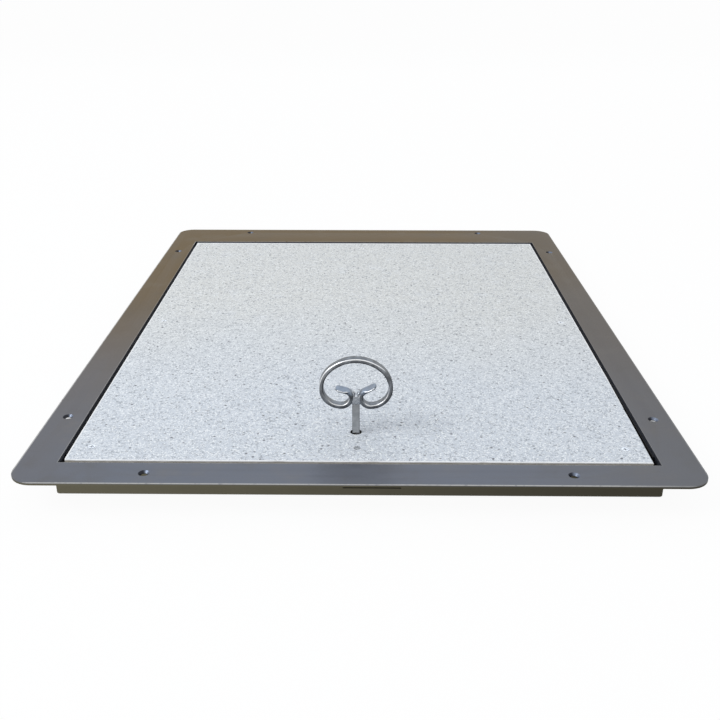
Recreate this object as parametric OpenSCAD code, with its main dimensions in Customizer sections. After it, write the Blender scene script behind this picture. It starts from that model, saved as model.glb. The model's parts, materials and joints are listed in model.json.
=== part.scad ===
// Fire-rated access hatch for a ceiling or a roof: a folded steel frame with
// a flange, and a mineral board leaf on two hidden hinges that a loose square
// key locks. It lies flange up. X runs across, Y from the lock side to the
// hinge side, and Z up from the bottom of the collar. Millimetres.

/* [Frame] */
// Width over the flange
frame_w = 600; // [520:1:800]
// Depth over the flange, from the lock side to the hinge side
frame_d = 800; // [700:1:1000]
// Height of the frame, from the collar's bottom to the top of the flange
frame_h = 32; // [32:0.5:40]
// Thickness of the flange plate
plate_t = 2.5; // [2:0.1:3]
// Width of the flange outside the collar
flange_w = 35; // [30:1:45]
// Width of the hinge side's strip, which also covers the hinges
hinge_flange_w = 70; // [66:1:80]
// Radius of the flange's outer corners
corner_r = 22; // [8:1:30]
// Thickness of the collar's folded sheet
collar_t = 2; // [1.5:0.1:2.5]
// Inside radius of the collar's bottom bends
bend_r = 2; // [1:0.5:3]
// How far the collar's return lip reaches under the leaf
lip_under = 10; // [9:0.5:16]

/* [Frame screw holes] */
// Diameter of the countersunk holes
hole_d = 5.5; // [4.5:0.1:6.5]
// Diameter of the countersinks at the top
hole_head_d = 10; // [9:0.5:12]
// Distance of the front and back rows' holes from the frame's side edges
end_hole_side = 115; // [90:1:170]
// Distance of the side rows' holes from the frame's front and back edges
side_hole_end = 123; // [100:1:200]

/* [Leaf] */
// Thickness of the board
board_t = 15; // [14:0.5:17]
// Gap between the board and the frame at the sides
side_gap = 4; // [3:0.5:6]
// Gap between the board and the frame at the lock side
front_gap = 4; // [3:0.5:6]
// Gap between the board and the hinge side's strip
hinge_gap = 8; // [7:0.5:9]
// Width of the channels
rail_w = 30; // [28:1:40]
// Thickness of the channels' sheet
rail_t = 1.5; // [1:0.1:2]
// Thickness of the rubber seal on the lip
seal_t = 2; // [1.5:0.1:3]
// Width of the rubber seal
seal_w = 8; // [6:0.5:9]
// Thickness of the swelling fire strips on the collar's walls
fire_t = 1.8; // [1:0.1:2]
// Height of the fire strips
fire_h = 12; // [8:0.5:12]

/* [Board screws] */
// Distance of the screws from the board's side edges
screw_side = 18; // [14:0.5:22]
// Distance of the screws from the board's front and back edges
screw_end = 25; // [24:0.5:28]
// How far the middle pair lies behind the middle of the board
screw_mid = 0; // [-20:1:20]
// How far the front and back rows' middle screws lie to the left of the middle
screw_left = 1.7; // [0:0.1:5]
// Diameter of the screw heads
screw_head_d = 7; // [6:0.5:8]
// Diameter of the screws' shanks
screw_d = 3.5; // [3:0.1:4]
// How far above the lock's tongue the screws end
screw_clear = 0.5; // [0.3:0.1:2]

/* [Hinges] */
// Distance of the hinges from the board's side edges
hinge_side = 81; // [60:1:160]
// Distance of the pins behind the strip's edge
hinge_back = 6; // [5.5:0.5:8]
// Depth of the pins under the top of the flange
hinge_drop = 8; // [7.5:0.5:9]
// Diameter of the hinge pins
pin_d = 5; // [4:0.1:5]
// Thickness of the hinge arms
arm_t = 8; // [6:0.5:10]
// Thickness of the hinge brackets' sheet
bracket_t = 2.5; // [2:0.1:3]
// Width of the brackets' bases and of the arms' feet
foot_w = 40; // [36:1:50]

/* [Lock] */
// Distance of the key hole from the board's front edge
key_back = 55.5; // [54:0.5:70]
// How far the key hole lies to the left of the middle
key_left = 3.3; // [0:0.1:10]
// Diameter of the key hole
key_hole_d = 10.5; // [9.5:0.5:11]
// Outside diameter of the lock's boss
boss_d = 20; // [18:0.5:24]
// Height of the lock's boss in the board
boss_h = 9; // [8:0.5:10]
// Distance of the tongue below the lock's plate
cam_gap = 1.5; // [1:0.1:3]
// Diameter of the turning core
core_d = 12; // [11.5:0.1:13]
// Length of the tongue from the lock's axis
tongue_len = 70; // [66:1:74]
// Width of the tongue
tongue_w = 16; // [14:0.5:18]
// Thickness of the tongue
tongue_t = 3; // [2:0.1:3.5]

/* [Key] */
// Side of the key's square shaft
key_sq = 6; // [5:0.1:6.2]
// Height of the shaft above the board
key_rise = 39.5; // [38.5:0.5:42]
// Height of the bow's top above the board
bow_top = 75; // [72:0.5:78]
// Width of the bow's strip
strip_w = 9; // [8:0.5:12]
// Thickness of the bow's strip
strip_t = 3; // [2:0.1:3.5]
// Radius of the bow's crown, along the middle of the strip
crown_r = 34.9; // [33:0.1:38]
// Radius of the bow's shoulders
shoulder_r = 24.7; // [23:0.1:28]
// Radius of the bow's lower lobes
lobe_r = 18.3; // [17:0.1:20]
// Radius of the bends that turn the strip's ends out into wings
wing_r = 6; // [5:0.1:8]

/* [Hidden] */
$fn = 64;

paint = [0.44, 0.43, 0.42];
zinc = [0.62, 0.66, 0.72];
galvanised = [0.72, 0.74, 0.76];
rubber = [0.08, 0.08, 0.09];
graphite = [0.20, 0.20, 0.21];
mineral = [0.83, 0.84, 0.84];
wool = [0.80, 0.76, 0.60];

// A cut reaches this far past the face that it opens
cut = 1;
// Running fit of a pin or a core in its bore, on the radius
fit = 0.05;

// The board's top is level with the flange, and the leaf's channels reach from
// its underside to just above the seal on the collar's lip
seal_play = 0.3;
rail_z = collar_t + seal_t + seal_play;
board_z = frame_h - board_t;
rail_h = board_z - rail_z;

// Inner faces of the collar, and the plate's opening
collar_w = frame_w - 2 * flange_w;
collar_d = frame_d - 2 * flange_w;
collar_front = -collar_d / 2;
collar_back = collar_d / 2;
opening_back = frame_d / 2 - hinge_flange_w;
flange_z = frame_h - plate_t;
hole_inset = flange_w / 2;
end_hole_x = frame_w / 2 - end_hole_side;
side_hole_y = frame_d / 2 - side_hole_end;
hole_head_h = (hole_head_d - hole_d) / 2;

// The board, and the channels just inside its edges
board_w = collar_w - 2 * side_gap;
board_front = collar_front + front_gap;
board_back = opening_back - hinge_gap;
board_mid = (board_front + board_back) / 2;
rail_inset = 1;
leaf_w = board_w - 2 * rail_inset;
leaf_front = board_front + rail_inset;
leaf_back = board_back - rail_inset;
leaf_d = leaf_back - leaf_front;
cross_y = board_mid + screw_mid;

// The lip's inner edge lies under the leaf's channels all round
lip_w = leaf_w / 2 - lip_under;
lip_front = leaf_front + lip_under;
lip_back = leaf_back - lip_under;
seal_inset = 1;
seal_x = leaf_w / 2 - seal_inset;
seal_front_y = leaf_front + seal_inset;
seal_back_y = leaf_back - seal_inset;
fire_end = 20;

// Mineral wool between the channels
wool_play = 0.5;
wool_rise = 0.7;
wool_z = rail_z + wool_rise;

// The lock's plate lies under the board, and the tongue hangs below the plate
lock_plate_t = 2;
lock_z = board_z - lock_plate_t;
tongue_top = lock_z - cam_gap;
cam_z = tongue_top - tongue_t;

// Board screws
screw_head_h = (screw_head_d - screw_d) / 2;
screw_len = frame_h - tongue_top - screw_clear;
screw_x = board_w / 2 - screw_side;
front_screw_y = board_front + screw_end;
back_screw_y = board_back - screw_end;
screw_points = [
  [-screw_x, front_screw_y], [-screw_left, front_screw_y], [screw_x, front_screw_y],
  [-screw_x, cross_y], [screw_x, cross_y],
  [-screw_x, back_screw_y], [-screw_left, back_screw_y], [screw_x, back_screw_y]
];

// Hinge axis, eyes, brackets and feet
hinge_x = board_w / 2 - hinge_side;
axis_y = opening_back + hinge_back;
axis_z = frame_h - hinge_drop;
eye_play = 0.5;
eye_r = hinge_drop - plate_t - eye_play;
ear_play = 0.3;
ear_x = arm_t / 2 + ear_play;
ear_out = ear_x + bracket_t;
arm_bend_r = 1.5;
arm_neck_in = 0.8;
arm_neck = eye_r - arm_neck_in;
arm_drop = 14;
stop_gap = 1.6;
foot_t = 3;
foot_play = 0.5;
foot_rise = 0.7;
foot_z = rail_z + foot_rise;
foot_h = board_z - foot_play - foot_z;
foot_screw_edge = 6;
foot_screw_x = foot_w / 2 - foot_screw_edge;
foot_screw_z = foot_z + foot_h / 2;
foot_screw_d = 4;
foot_head_d = 7;
foot_head_h = 2.4;
foot_head_taper = 1.5;
nut_d = 7.6;
nut_t = 3;
thread_past = 1;

// Rivets, pins and clips
rivet_d = 4;
rivet_head_d = 8;
rivet_head_h = 1.2;
rivet_tail_d = 6;
rivet_tail_taper = 0.8;
pin_head_d = 8;
pin_head_h = 1.5;
clip_t = 0.8;
clip_d = 9;
clip_play = 0.1;
pin_tail = 1.2;
groove_depth = 0.5;
groove_r = pin_d / 2 - groove_depth;

// Lock
key_x = -key_left;
key_y = board_front + key_back;
boss_play = 0.5;
lock_plate_w = 56;
lock_plate_d = 30;
lock_plate_r = 4;
lock_screw_x = 21;
lock_screw_len = 10;
lock_screw_past = 1;
boss_lid = 1.5;
core_play = 0.1;
core_top = board_z + boss_h - boss_lid - core_play;
core_ring_w = 2;
core_ring_d = core_d + 2 * core_ring_w;
spigot = 8;
spigot_play = 0.05;
hub_r = 12;
socket_rise = 1;
socket_z = board_z + socket_rise;
socket_play = 0.3;
socket = key_sq + socket_play;
cam_screw_d = 5;
cam_screw_end = 0.5;
cam_bore_rise = 2;
cam_bore_h = tongue_t + cam_bore_rise;
washer_play = 0.2;
washer_t = 1;
washer_d = 12;
cam_head_d = 9;
cam_head_h = 3;
tip_reach = sqrt(pow(tongue_len, 2) + pow(tongue_w / 2, 2));
slot_play = 1.2;
slot_end = 3;
slot_z = cam_z - slot_play;
slot_h = tongue_t + 2 * slot_play;
pocket_front = leaf_front + rail_w;
pocket_d = 50;
pocket_side = 4;

// Key
bow_z = frame_h + bow_top - strip_t / 2;
shaft_side = key_sq / 2 + strip_t / 2;
curl_r = crown_r * sin(45) + shoulder_r * (1 - sin(45)) - lobe_r - shaft_side;
right_wing_turn = 62;
right_wing_len = 12.2;
left_wing_turn = 75;
left_wing_len = 10;
wing_corner_r = 3.5;
bend_step = 5;
weld_low = 9;
weld_r = 12;
weld_sunk = 0.5;
weld_out = strip_w / 2 - weld_sunk;
weld_w = 8;

// Where the tongue's tip leaves the slot of a wall at this distance in Y
function slot_reach(wall) = sqrt(pow(tip_reach, 2) - pow(wall, 2)) + slot_end;

// Flat shapes
module rounded_rect(w, d, r) {
  square([w - 2 * r, d], center = true);
  square([w, d - 2 * r], center = true);
  for (x = [-1, 1], y = [-1, 1]) {
    translate([x * (w / 2 - r), y * (d / 2 - r)])
      circle(r = r);
  }
}

// A tray's section: upright walls, and a bend of radius r at each lower corner
module tray_section(w, h, r) {
  translate([-w / 2, r])
    square([w, h - r]);
  translate([r - w / 2, 0])
    square([w - 2 * r, h]);
  for (x = [-1, 1]) {
    translate([x * (w / 2 - r), r])
      circle(r = r);
  }
}

// A block from z = low upwards whose four lower edges are bent round
module tray(w, d, low, h, r) {
  translate([0, 0, low]) {
    intersection() {
      translate([0, d / 2, 0])
        rotate([90, 0, 0])
          linear_extrude(d)
            tray_section(w, h, r);
      translate([-w / 2, 0, 0])
        rotate([90, 0, 90])
          linear_extrude(w)
            tray_section(d, h, r);
    }
  }
}

// A block given by its lowest and highest corners
module block(low, high) {
  translate(low)
    cube(high - low);
}

// A hole through z = 0 downwards, with a countersink whose rim is at z = 0
module countersunk_hole(d, head_d, head_h, depth) {
  translate([0, 0, -depth])
    cylinder(d = d, h = depth + cut);
  translate([0, 0, -head_h])
    cylinder(d1 = d, d2 = head_d, h = head_h);
  cylinder(d = head_d, h = cut);
}

// A countersunk screw whose flat head lies at z = 0, with a cross recess
module countersunk_screw(d, head_d, head_h, len) {
  tip_h = d / 2;
  difference() {
    union() {
      translate([0, 0, -head_h])
        cylinder(d1 = d, d2 = head_d, h = head_h);
      translate([0, 0, tip_h - len])
        cylinder(d = d, h = len - tip_h);
      translate([0, 0, -len])
        cylinder(d1 = d / 4, d2 = d, h = tip_h);
    }
    cross_recess(head_d * 0.6, head_h * 0.7);
  }
}

module cross_recess(len, depth) {
  width = len / 5;
  for (turn = [0, 90]) {
    rotate(turn)
      block([-len / 2, -width / 2, -depth], [len / 2, width / 2, cut]);
  }
}

// What follows lies along x, on a hinge's axis
module along_x() {
  rotate([90, 0, 90])
    children();
}

// Frame
module surround_frame() {
  color(paint) {
    difference() {
      union() {
        translate([0, 0, flange_z])
          linear_extrude(plate_t)
            rounded_rect(frame_w, frame_d, corner_r);
        collar();
      }
      block([-collar_w / 2, collar_front, flange_z - cut],
            [collar_w / 2, opening_back, frame_h + cut]);
      for (x = [-1, 1], y = [-1, 1]) {
        translate([x * end_hole_x, y * (frame_d / 2 - hole_inset), frame_h])
          countersunk_hole(hole_d, hole_head_d, hole_head_h, plate_t + cut);
        translate([x * (frame_w / 2 - hole_inset), y * side_hole_y, frame_h])
          countersunk_hole(hole_d, hole_head_d, hole_head_h, plate_t + cut);
      }
    }
  }
}

module collar() {
  difference() {
    tray(collar_w + 2 * collar_t, collar_d + 2 * collar_t, 0, frame_h, bend_r + collar_t);
    intersection() {
      tray(collar_w, collar_d, collar_t, frame_h, bend_r);
      block([-frame_w, -frame_d, 0], [frame_w, frame_d, flange_z]);
    }
    block([-lip_w, lip_front, -cut], [lip_w, lip_back, collar_t + cut]);
    tongue_slot(collar_front - collar_t, collar_front);
    rivet_places()
      cylinder(d = rivet_d + 2 * fit, h = collar_t + bracket_t + cut);
  }
}

// The slot that the tongue swings through, in a wall between two places in Y
module tongue_slot(outside, inside) {
  block([key_x - tongue_w / 2 - slot_end, outside - cut, slot_z],
        [key_x + slot_reach(key_y - inside), inside + cut, slot_z + slot_h]);
}

// Each child stands on the hinge bracket's base, pointing out through the wall
module rivet_places() {
  for (side = [-1, 1], x = [-1, 1]) {
    translate([side * hinge_x + x * foot_screw_x, collar_back - bracket_t, axis_z])
      rotate([-90, 0, 0])
        children();
  }
}

// A strip of the seal, on the lip
module seal_strip(low_x, low_y, high_x, high_y) {
  color(rubber)
    block([low_x, low_y, collar_t], [high_x, high_y, collar_t + seal_t]);
}

module seal_front() {
  seal_strip(-seal_x, seal_front_y, seal_x, seal_front_y + seal_w);
}

module seal_back() {
  seal_strip(-seal_x, seal_back_y - seal_w, seal_x, seal_back_y);
}

module seal_left() {
  seal_strip(-seal_x, seal_front_y + seal_w, seal_w - seal_x, seal_back_y - seal_w);
}

module seal_right() {
  seal_strip(seal_x - seal_w, seal_front_y + seal_w, seal_x, seal_back_y - seal_w);
}

// The fire strips face the board's edges
module fire_strip_front() {
  color(graphite)
    block([fire_end - collar_w / 2, collar_front, board_z],
          [collar_w / 2 - fire_end, collar_front + fire_t, board_z + fire_h]);
}

module fire_strip_side() {
  color(graphite)
    block([collar_w / 2 - fire_t, collar_front + fire_end, board_z],
          [collar_w / 2, opening_back - fire_end, board_z + fire_h]);
}

module fire_strip_left() {
  mirror([1, 0, 0])
    fire_strip_side();
}

module fire_strip_right() {
  fire_strip_side();
}

// Hinges
module hinge_bracket() {
  color(galvanised) {
    difference() {
      union() {
        block([-foot_w / 2, collar_back - bracket_t, axis_z - eye_r],
              [foot_w / 2, collar_back, axis_z + eye_r]);
        for (x = [-ear_out, ear_x]) {
          translate([x, axis_y, axis_z])
            along_x()
              linear_extrude(bracket_t)
                ear_outline();
        }
      }
      for (x = [-foot_screw_x, foot_screw_x]) {
        translate([x, collar_back - bracket_t - cut, axis_z])
          rotate([-90, 0, 0])
            cylinder(d = rivet_d + 2 * fit, h = bracket_t + 2 * cut);
      }
    }
  }
}

module ear_outline() {
  difference() {
    union() {
      circle(r = eye_r);
      translate([0, -eye_r])
        square([collar_back - bracket_t - axis_y, 2 * eye_r]);
    }
    circle(d = pin_d + 2 * fit);
  }
}

module hinge_bracket_left() {
  translate([-hinge_x, 0, 0])
    hinge_bracket();
}

module hinge_bracket_right() {
  translate([hinge_x, 0, 0])
    hinge_bracket();
}

module bracket_rivets() {
  color(galvanised) {
    rivet_places() {
      translate([0, 0, -rivet_head_h])
        cylinder(d1 = rivet_head_d - 2 * rivet_head_h, d2 = rivet_head_d, h = rivet_head_h);
      cylinder(d = rivet_d, h = collar_t + bracket_t);
      translate([0, 0, collar_t + bracket_t])
        cylinder(d1 = rivet_tail_d, d2 = rivet_tail_d - 2 * rivet_tail_taper, h = rivet_head_h);
    }
  }
}

// Headed pin, with a groove near its tail for the clip
module hinge_pin() {
  groove_x = ear_out + clip_play;
  color(zinc) {
    translate([0, axis_y, axis_z]) {
      along_x() {
        translate([0, 0, -ear_out - pin_head_h])
          cylinder(d = pin_head_d, h = pin_head_h);
        translate([0, 0, -ear_out])
          cylinder(d = pin_d, h = ear_out + groove_x);
        translate([0, 0, groove_x])
          cylinder(r = groove_r, h = clip_t);
        translate([0, 0, groove_x + clip_t])
          cylinder(d = pin_d, h = pin_tail);
      }
    }
  }
}

module hinge_pin_left() {
  translate([-hinge_x, 0, 0])
    hinge_pin();
}

module hinge_pin_right() {
  translate([hinge_x, 0, 0])
    hinge_pin();
}

// A spring clip: a ring in the pin's groove, open below
module pin_clip() {
  linear_extrude(clip_t) {
    difference() {
      circle(d = clip_d);
      circle(r = groove_r);
      translate([-groove_r * 0.8, -clip_d])
        square([groove_r * 1.6, clip_d]);
    }
  }
}

module pin_clips() {
  color(graphite) {
    for (side = [-1, 1]) {
      translate([side * hinge_x + ear_out + clip_play, axis_y, axis_z])
        along_x()
          pin_clip();
    }
  }
}

// The arm hangs from its eye, passes under the board's edge and ends in a foot
module hinge_arm() {
  color(galvanised) {
    difference() {
      union() {
        translate([-arm_t / 2, axis_y, axis_z])
          along_x()
            linear_extrude(arm_t)
              arm_outline();
        block([-foot_w / 2, leaf_back, foot_z],
              [foot_w / 2, leaf_back + foot_t, foot_z + foot_h]);
      }
      for (x = [-foot_screw_x, foot_screw_x]) {
        translate([x, leaf_back - cut, foot_screw_z])
          rotate([-90, 0, 0])
            cylinder(d = foot_screw_d + 2 * fit, h = foot_t + 2 * cut);
      }
    }
  }
}

module arm_outline() {
  foot_y = leaf_back + foot_t - axis_y;
  difference() {
    union() {
      circle(r = eye_r);
      translate([-arm_neck, -arm_drop])
        square([arm_neck + eye_r - arm_bend_r, arm_drop]);
      translate([-arm_neck, arm_bend_r - arm_drop])
        square([arm_neck + eye_r, arm_drop - arm_bend_r]);
      translate([eye_r - arm_bend_r, arm_bend_r - arm_drop])
        circle(r = arm_bend_r);
      translate([foot_y, -arm_drop])
        square([-foot_y, arm_drop - hinge_back - stop_gap]);
    }
    circle(d = pin_d + 2 * fit);
  }
}

module hinge_arm_left() {
  translate([-hinge_x, 0, 0])
    hinge_arm();
}

module hinge_arm_right() {
  translate([hinge_x, 0, 0])
    hinge_arm();
}

// Each child stands on the foot's back face, pointing forwards into the rail
module foot_screw_places() {
  for (side = [-1, 1], x = [-1, 1]) {
    translate([side * hinge_x + x * foot_screw_x, leaf_back + foot_t, foot_screw_z])
      rotate([90, 0, 0])
        children();
  }
}

module arm_screws() {
  color(zinc) {
    foot_screw_places() {
      difference() {
        union() {
          translate([0, 0, -foot_head_h])
            cylinder(d1 = foot_head_d - foot_head_taper, d2 = foot_head_d, h = foot_head_h);
          cylinder(d = foot_screw_d, h = foot_t + rail_t + nut_t + thread_past);
        }
        translate([0, 0, -foot_head_h])
          rotate([180, 0, 0])
            cross_recess(foot_head_d * 0.6, foot_head_h * 0.6);
      }
    }
  }
}

module arm_nuts() {
  color(zinc) {
    foot_screw_places() {
      translate([0, 0, foot_t + rail_t]) {
        difference() {
          cylinder(d = nut_d, h = nut_t, $fn = 6);
          translate([0, 0, -cut])
            cylinder(d = foot_screw_d + 2 * fit, h = nut_t + 2 * cut);
        }
      }
    }
  }
}

// Leaf
module board() {
  color(mineral) {
    difference() {
      block([-board_w / 2, board_front, board_z], [board_w / 2, board_back, frame_h]);
      for (p = screw_points) {
        translate([p[0], p[1], frame_h])
          countersunk_hole(screw_d + 2 * fit, screw_head_d + 2 * fit, screw_head_h, board_t + cut);
      }
      translate([key_x, key_y, board_z - cut]) {
        cylinder(d = key_hole_d, h = board_t + 2 * cut);
        cylinder(d = boss_d + 2 * boss_play, h = boss_h + boss_play + cut);
      }
      for (x = [-lock_screw_x, lock_screw_x]) {
        translate([key_x + x, key_y, board_z - cut])
          cylinder(d = screw_d + 2 * fit, h = lock_screw_len - lock_plate_t + lock_screw_past + cut);
      }
    }
  }
}

module board_screws() {
  color(zinc) {
    for (p = screw_points) {
      translate([p[0], p[1], frame_h])
        countersunk_screw(screw_d, screw_head_d, screw_head_h, screw_len);
    }
  }
}

// A channel whose web lies along x at y = 0, open to the back, mitred at both ends
module rail(len) {
  intersection() {
    difference() {
      block([-len / 2, 0, rail_z], [len / 2, rail_w, board_z]);
      block([-len, rail_t, rail_z + rail_t], [len, rail_w + cut, board_z - rail_t]);
    }
    linear_extrude(frame_h)
      polygon([[-len / 2, 0], [len / 2, 0], [len / 2 - rail_w, rail_w], [rail_w - len / 2, rail_w]]);
  }
}

// The holes that the board's screws need in the channels
module screw_holes() {
  for (p = screw_points) {
    translate([p[0], p[1], rail_z + 2 * rail_t])
      cylinder(d = screw_d + 2 * fit, h = rail_h);
  }
}

module rail_front() {
  color(galvanised) {
    difference() {
      translate([0, leaf_front, 0])
        rail(leaf_w);
      tongue_slot(leaf_front, leaf_front + rail_t);
      screw_holes();
    }
  }
}

module rail_back() {
  color(galvanised) {
    difference() {
      translate([0, leaf_back, 0])
        rotate(180)
          rail(leaf_w);
      screw_holes();
      foot_screw_places()
        cylinder(d = foot_screw_d + 2 * fit, h = foot_t + rail_t + cut);
    }
  }
}

module stile() {
  difference() {
    translate([leaf_w / 2, (leaf_front + leaf_back) / 2, 0])
      rotate(90)
        rail(leaf_d);
    screw_holes();
  }
}

module stile_left() {
  color(galvanised)
    mirror([1, 0, 0])
      stile();
}

module stile_right() {
  color(galvanised)
    stile();
}

// A channel across the middle, open below
module cross_rail() {
  reach = leaf_w / 2 - rail_w;
  color(galvanised) {
    difference() {
      block([-reach, cross_y - rail_w / 2, rail_z], [reach, cross_y + rail_w / 2, board_z]);
      block([-reach - cut, cross_y - rail_w / 2 + rail_t, rail_z - cut],
            [reach + cut, cross_y + rail_w / 2 - rail_t, board_z - rail_t]);
    }
  }
}

// Mineral wool, with a pocket behind the front rail for the lock
module insulation_front() {
  reach = leaf_w / 2 - rail_w - wool_play;
  color(wool) {
    difference() {
      block([-reach, pocket_front + wool_play, wool_z],
            [reach, cross_y - rail_w / 2 - wool_play, board_z]);
      block([key_x - lock_plate_w / 2 - pocket_side, pocket_front - cut, wool_z - cut],
            [key_x + tip_reach + slot_end * 2, pocket_front + pocket_d, board_z + cut]);
    }
  }
}

module insulation_rear() {
  reach = leaf_w / 2 - rail_w - wool_play;
  color(wool)
    block([-reach, cross_y + rail_w / 2 + wool_play, wool_z],
          [reach, leaf_back - rail_w - wool_play, board_z]);
}

// Lock
module lock_body() {
  color(zinc) {
    translate([key_x, key_y, 0]) {
      difference() {
        union() {
          translate([0, 0, board_z])
            cylinder(d = boss_d, h = boss_h);
          translate([0, 0, lock_z])
            linear_extrude(lock_plate_t)
              rounded_rect(lock_plate_w, lock_plate_d, lock_plate_r);
        }
        translate([0, 0, lock_z - cut])
          cylinder(d = key_hole_d, h = board_t);
        translate([0, 0, lock_z - cut])
          cylinder(d = core_d + 2 * fit, h = core_top + core_play - lock_z + cut);
        for (x = [-lock_screw_x, lock_screw_x]) {
          translate([x, 0, lock_z])
            rotate([180, 0, 0])
              countersunk_hole(screw_d + 2 * fit, screw_head_d + 2 * fit, screw_head_h,
                               lock_plate_t + cut);
        }
      }
    }
  }
}

module lock_screws() {
  color(zinc) {
    for (x = [-lock_screw_x, lock_screw_x]) {
      translate([key_x + x, key_y, lock_z])
        rotate([180, 0, 0])
          countersunk_screw(screw_d, screw_head_d, screw_head_h, lock_screw_len);
    }
  }
}

// The core that the key turns: a collar below the plate and a square spigot
module core() {
  color(zinc) {
    translate([key_x, key_y, 0]) {
      difference() {
        union() {
          translate([0, 0, tongue_top])
            cylinder(d = core_d, h = core_top - tongue_top);
          translate([0, 0, tongue_top])
            cylinder(d = core_ring_d, h = cam_gap - core_play);
          block([-spigot / 2, -spigot / 2, cam_z], [spigot / 2, spigot / 2, tongue_top]);
        }
        block([-socket / 2, -socket / 2, socket_z], [socket / 2, socket / 2, core_top + cut]);
        translate([0, 0, cam_z - cut])
          cylinder(d = cam_screw_d, h = cam_bore_h + cut);
      }
    }
  }
}

module cam() {
  square_side = spigot + 2 * spigot_play;
  tip_r = tongue_w / 4;
  color(zinc) {
    translate([key_x, key_y, cam_z]) {
      linear_extrude(tongue_t) {
        difference() {
          union() {
            circle(r = hub_r);
            translate([0, -tongue_w / 2])
              square([tongue_len - tip_r, tongue_w]);
            translate([0, tip_r - tongue_w / 2])
              square([tongue_len, tongue_w - 2 * tip_r]);
            for (y = [-1, 1]) {
              translate([tongue_len - tip_r, y * (tongue_w / 2 - tip_r)])
                circle(r = tip_r);
            }
          }
          square(square_side, center = true);
        }
      }
    }
  }
}

module cam_washer() {
  color(zinc) {
    translate([key_x, key_y, cam_z - washer_t]) {
      difference() {
        cylinder(d = washer_d, h = washer_t);
        translate([0, 0, -cut])
          cylinder(d = cam_screw_d + washer_play, h = washer_t + 2 * cut);
      }
    }
  }
}

module cam_screw() {
  head_z = cam_z - washer_t - cam_head_h;
  color(zinc) {
    translate([key_x, key_y, head_z]) {
      cylinder(d = cam_head_d, h = cam_head_h, $fn = 6);
      translate([0, 0, cam_head_h])
        cylinder(d = cam_screw_d - 2 * fit, h = washer_t + cam_bore_h - cam_screw_end);
    }
  }
}

// Key
module key_shaft() {
  color(zinc)
    block([key_x - key_sq / 2, key_y - key_sq / 2, socket_z],
          [key_x + key_sq / 2, key_y + key_sq / 2, frame_h + key_rise]);
}

// One side of a strip that bends to the right again and again and ends in a
// straight. It lies this far to the left of the strip's middle.
function strip_side(bends, len, left, at = [0, 0], dir = 0, i = 0) =
  let (normal = [-sin(dir), cos(dir)])
  i == len(bends)
    ? [at + left * normal, at + left * normal + len * [cos(dir), sin(dir)]]
    : let (
        r = bends[i][0],
        angle = bends[i][1],
        centre = at - r * normal,
        steps = ceil(angle / bend_step),
        past = dir - angle
      )
      concat(
        [for (k = [0 : steps - 1])
          let (turned = dir - angle * k / steps)
          centre + (r + left) * [-sin(turned), cos(turned)]],
        strip_side(bends, len, left, centre + r * [-sin(past), cos(past)], past, i + 1)
      );

function reversed(list) = [for (i = [len(list) - 1 : -1 : 0]) list[i]];

function mirrored(points) = [for (p = points) [-p[0], p[1]]];

// The bow's bends, from its top round to the wing beside the shaft
function bow_bends(wing_turn) = [
  [crown_r, 45], [shoulder_r, 45], [lobe_r, 90], [curl_r, 90], [wing_r, wing_turn]
];

// The strip's edge outline: one wing, over the crown, and the other wing
module bow_edge() {
  right = bow_bends(right_wing_turn);
  left = bow_bends(left_wing_turn);
  half = strip_t / 2;
  polygon(concat(
    strip_side(right, right_wing_len, half),
    reversed(strip_side(right, right_wing_len, -half)),
    mirrored(strip_side(left, left_wing_len, -half)),
    reversed(mirrored(strip_side(left, left_wing_len, half)))
  ));
}

// Moves what follows through a row of bends to the right
module past_bends(bends, i = 0) {
  if (i == len(bends)) {
    children();
  } else {
    translate([0, -bends[i][0], 0])
      rotate(-bends[i][1])
        translate([0, bends[i][0], 0])
          past_bends(bends, i + 1)
            children();
  }
}

// What the rounding of a wing's two corners takes away
module wing_corners(wing_turn, wing_len) {
  inner = strip_w / 2 - wing_corner_r;
  start = wing_len - wing_corner_r;
  past_bends(bow_bends(wing_turn)) {
    for (side = [0, 1]) {
      mirror([0, 0, side]) {
        difference() {
          block([start, -strip_t, inner], [wing_len + cut, strip_t, strip_w / 2 + cut]);
          translate([start, 0, inner])
            rotate([90, 0, 0])
              cylinder(r = wing_corner_r, h = 4 * strip_t, center = true);
        }
      }
    }
  }
}

module bow() {
  translate([key_x, key_y, bow_z]) {
    rotate([90, 0, 0]) {
      difference() {
        linear_extrude(strip_w, center = true)
          bow_edge();
        wing_corners(right_wing_turn, right_wing_len);
        mirror([1, 0, 0])
          wing_corners(left_wing_turn, left_wing_len);
      }
    }
  }
}

module key_bow() {
  color(zinc)
    bow();
}

// A bead in front of the shaft and one behind, between the strip's two ends
module key_weld() {
  color(zinc) {
    difference() {
      translate([key_x, key_y, frame_h + key_rise - weld_low]) {
        linear_extrude(weld_low) {
          intersection() {
            square([weld_w, 2 * weld_out], center = true);
            union() {
              for (y = [-1, 1]) {
                translate([0, y * (weld_out - weld_r)])
                  circle(r = weld_r);
              }
            }
          }
        }
      }
      block([key_x - weld_w, key_y - key_sq / 2, 0],
            [key_x + weld_w, key_y + key_sq / 2, frame_h + key_rise + cut]);
      bow();
    }
  }
}

surround_frame();
seal_front();
seal_back();
seal_left();
seal_right();
fire_strip_front();
fire_strip_left();
fire_strip_right();
hinge_bracket_left();
hinge_bracket_right();
bracket_rivets();
hinge_pin_left();
hinge_pin_right();
pin_clips();
board();
board_screws();
rail_front();
rail_back();
stile_left();
stile_right();
cross_rail();
insulation_front();
insulation_rear();
hinge_arm_left();
hinge_arm_right();
arm_screws();
arm_nuts();
lock_body();
lock_screws();
core();
cam();
cam_washer();
cam_screw();
key_shaft();
key_bow();
key_weld();
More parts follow.
